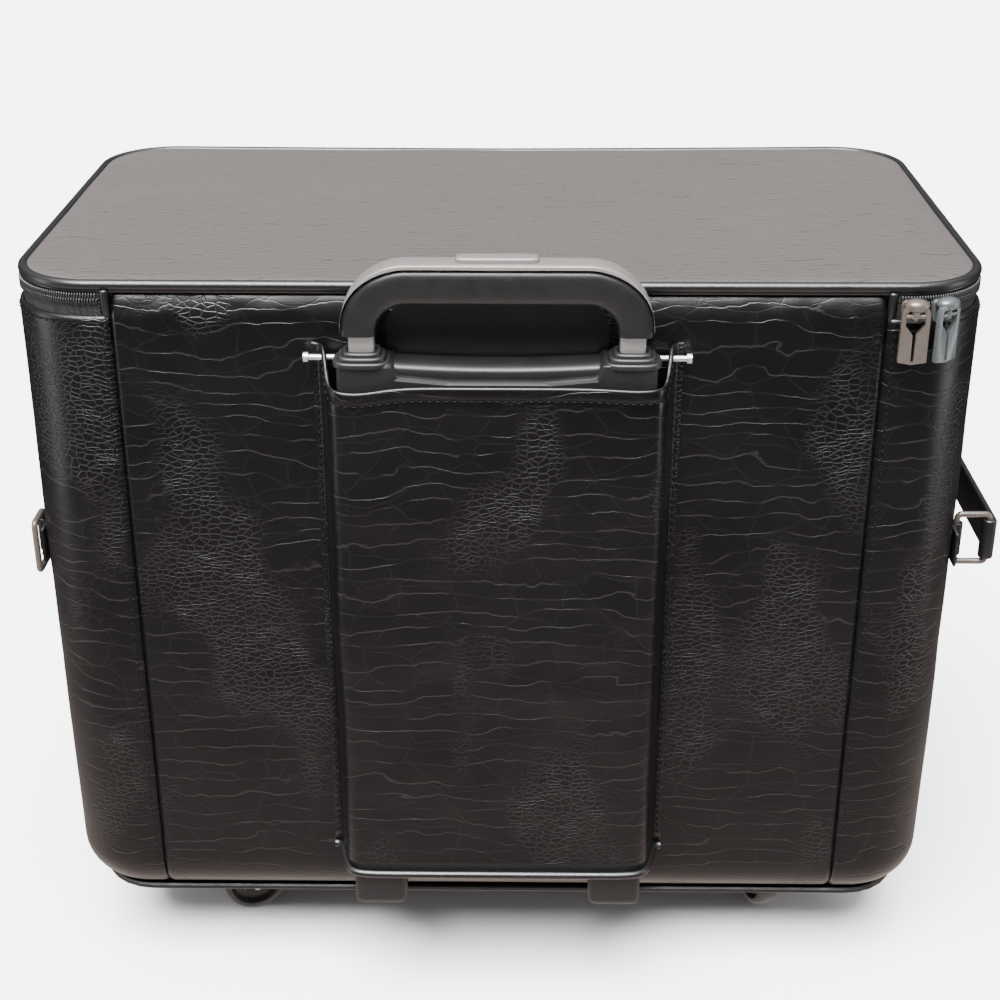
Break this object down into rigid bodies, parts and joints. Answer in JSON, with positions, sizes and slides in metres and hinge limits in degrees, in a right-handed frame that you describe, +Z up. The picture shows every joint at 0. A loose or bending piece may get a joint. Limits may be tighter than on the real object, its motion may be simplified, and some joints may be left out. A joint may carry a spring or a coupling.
{
  "type": "makeup train case",
  "caption": "Soft-sided makeup train case with a zipped hinged lid, a telescoping trolley handle on its back, a side carry strap and swivel casters.",
  "frame": {"origin": "middle of the whole object's box in plan, on the ground under the casters", "axes": "+X along the width, towards the side with the carry strap; +Y away from the trolley handle, towards the case's front; +Z up"},
  "size_m": [0.4592, 0.2713, 0.387],
  "materials": {
    "black_embossed_leather": "semi-gloss crocodile-embossed",
    "lid_leather": "matte crocodile-embossed",
    "smooth_trim_leather": "semi-gloss",
    "black_lining": "woven",
    "stiffener_board": "pressed board",
    "zip_chain": "nylon coil and tape",
    "black_plastic": "satin",
    "dark_grey_plastic": "satin",
    "satin_silver": "satin",
    "steel": "bright",
    "warm_nickel": "polished nickel",
    "wheel_rubber": "smooth"
  },
  "bodies": {
    "case_body": {"body_wrap": "black_embossed_leather", "back_panel": "black_embossed_leather", "hinge_strip": "smooth_trim_leather", "zip_chain_body": "zip_chain", "lining_shell": "black_lining", "base_pan": "black_plastic", "base_board": "stiffener_board", "trolley_cover": "black_embossed_leather", "cover_piping": "smooth_trim_leather", "trolley_housing": "black_plastic", "outer_tube_left": "steel", "outer_tube_right": "steel", "tube_boot_left": "black_plastic", "tube_boot_right": "black_plastic", "cover_pin_left": "steel", "cover_pin_right": "steel", "ring_tab_right_near": "smooth_trim_leather", "ring_tab_right_far": "smooth_trim_leather", "ring_tab_left": "smooth_trim_leather", "caster_plate_left_near": "steel", "caster_plate_right_near": "steel", "caster_plate_left_far": "steel", "caster_plate_right_far": "steel"},
    "lid": {"lid_piping": "smooth_trim_leather", "lid_panel": "lid_leather", "zip_chain_lid": "zip_chain", "lid_frame": "smooth_trim_leather", "lid_lining": "black_lining"},
    "handle_mid": {"mid_tube_left": "steel", "mid_tube_right": "steel"},
    "handle_grip": {"inner_tube_left": "satin_silver", "inner_tube_right": "satin_silver", "grip_body": "dark_grey_plastic", "grip_cap": "satin_silver"},
    "button": {"push_button": "satin_silver", "release_yoke": "steel"},
    "slider_left": {"zip_slider_left": "warm_nickel"},
    "slider_right": {"zip_slider_right": "warm_nickel"},
    "puller_left": {"zip_puller_left": "warm_nickel"},
    "puller_right": {"zip_puller_right": "warm_nickel"},
    "strap_ring_near": {"ring_right_near": "warm_nickel"},
    "strap_ring_far": {"ring_right_far": "warm_nickel"},
    "carry_strap": {"side_strap": "smooth_trim_leather"},
    "side_ring_left": {"ring_left": "warm_nickel"},
    "caster_left_near": {"caster_fork_left_near": "black_plastic", "caster_axle_left_near": "steel"},
    "wheel_left_near": {"caster_wheel_left_near": "wheel_rubber"},
    "caster_right_near": {"caster_fork_right_near": "black_plastic", "caster_axle_right_near": "steel"},
    "wheel_right_near": {"caster_wheel_right_near": "wheel_rubber"},
    "caster_left_far": {"caster_fork_left_far": "black_plastic", "caster_axle_left_far": "steel"},
    "wheel_left_far": {"caster_wheel_left_far": "wheel_rubber"},
    "caster_right_far": {"caster_fork_right_far": "black_plastic", "caster_axle_right_far": "steel"},
    "wheel_right_far": {"caster_wheel_right_far": "wheel_rubber"}
  },
  "joints": [
    {"name": "lid_hinge", "type": "hinge", "parent": "case_body", "child": "lid", "pos_m": [-0.0081, -0.107, 0.361], "axis": [1, 0, 0], "range_deg": [0, 88]},
    {"name": "handle_mid_slide", "type": "slide", "parent": "case_body", "child": "handle_mid", "axis": [0, 0, 1], "range_m": [0, 0.235]},
    {"name": "handle_grip_slide", "type": "slide", "parent": "handle_mid", "child": "handle_grip", "axis": [0, 0, 1], "range_m": [0, 0.235]},
    {"name": "button_press", "type": "slide", "parent": "handle_grip", "child": "button", "axis": [0, 0, -1], "range_m": [0, 0.003], "stiffness_N_per_m": 400, "springref_m": -0.004},
    {"name": "zip_slider_left_run", "type": "hinge", "parent": "case_body", "child": "slider_left", "pos_m": [0.1689, -0.069, 0.35775], "axis": [0, 0, 1], "range_deg": [-1.5, 2.5]},
    {"name": "zip_puller_left_swing", "type": "hinge", "parent": "slider_left", "child": "puller_left", "pos_m": [0.17002, -0.11169, 0.35775], "axis": [-0.9997, -0.0262, 0], "range_deg": [0, 120]},
    {"name": "zip_slider_right_run", "type": "hinge", "parent": "case_body", "child": "slider_right", "pos_m": [0.1689, -0.069, 0.35775], "axis": [0, 0, 1], "range_deg": [-2, 66]},
    {"name": "zip_puller_right_swing", "type": "hinge", "parent": "slider_right", "child": "puller_right", "pos_m": [0.18455, -0.10873, 0.35775], "axis": [-0.9304, -0.3665, 0], "range_deg": [0, 120]},
    {"name": "strap_ring_near_swing", "type": "hinge", "parent": "case_body", "child": "strap_ring_near", "pos_m": [0.2105, -0.068, 0.231], "axis": [0, 0, 1], "range_deg": [-60, 60]},
    {"name": "carry_strap_swing", "type": "hinge", "parent": "strap_ring_near", "child": "carry_strap", "pos_m": [0.226, -0.068, 0.231], "axis": [0, 0, 1], "range_deg": [-60, 60]},
    {"name": "strap_ring_far_swing", "type": "hinge", "parent": "case_body", "child": "strap_ring_far", "pos_m": [0.2105, 0.096, 0.231], "axis": [0, 0, 1], "range_deg": [-60, 60]},
    {"name": "side_ring_left_swing", "type": "hinge", "parent": "case_body", "child": "side_ring_left", "pos_m": [-0.2267, -0.068, 0.231], "axis": [0, 0, 1], "range_deg": [0, 170]},
    {"name": "caster_swivel_left_near", "type": "hinge", "parent": "case_body", "child": "caster_left_near", "pos_m": [-0.1521, -0.058, 0.035], "axis": [0, 0, 1], "continuous": true},
    {"name": "wheel_spin_left_near", "type": "hinge", "parent": "caster_left_near", "child": "wheel_left_near", "pos_m": [-0.14082, -0.0539, 0.017], "axis": [0.342, -0.9397, 0], "continuous": true},
    {"name": "caster_swivel_right_near", "type": "hinge", "parent": "case_body", "child": "caster_right_near", "pos_m": [0.1359, -0.058, 0.035], "axis": [0, 0, 1], "continuous": true},
    {"name": "wheel_spin_right_near", "type": "hinge", "parent": "caster_right_near", "child": "wheel_right_near", "pos_m": [0.1318, -0.04672, 0.017], "axis": [0.9397, 0.342, 0], "continuous": true},
    {"name": "caster_swivel_left_far", "type": "hinge", "parent": "case_body", "child": "caster_left_far", "pos_m": [-0.1521, 0.086, 0.035], "axis": [0, 0, 1], "continuous": true},
    {"name": "wheel_spin_left_far", "type": "hinge", "parent": "caster_left_far", "child": "wheel_left_far", "pos_m": [-0.1461, 0.09639, 0.017], "axis": [0.866, -0.5, 0], "continuous": true},
    {"name": "caster_swivel_right_far", "type": "hinge", "parent": "case_body", "child": "caster_right_far", "pos_m": [0.1359, 0.086, 0.035], "axis": [0, 0, 1], "continuous": true},
    {"name": "wheel_spin_right_far", "type": "hinge", "parent": "caster_right_far", "child": "wheel_right_far", "pos_m": [0.12819, 0.09519, 0.017], "axis": [0.766, 0.6428, 0], "continuous": true}
  ],
  "couplings": [
    {"joint": "carry_strap_swing", "follows": "strap_ring_near_swing", "ratio": -1},
    {"joint": "strap_ring_far_swing", "follows": "strap_ring_near_swing", "ratio": 1}
  ]
}
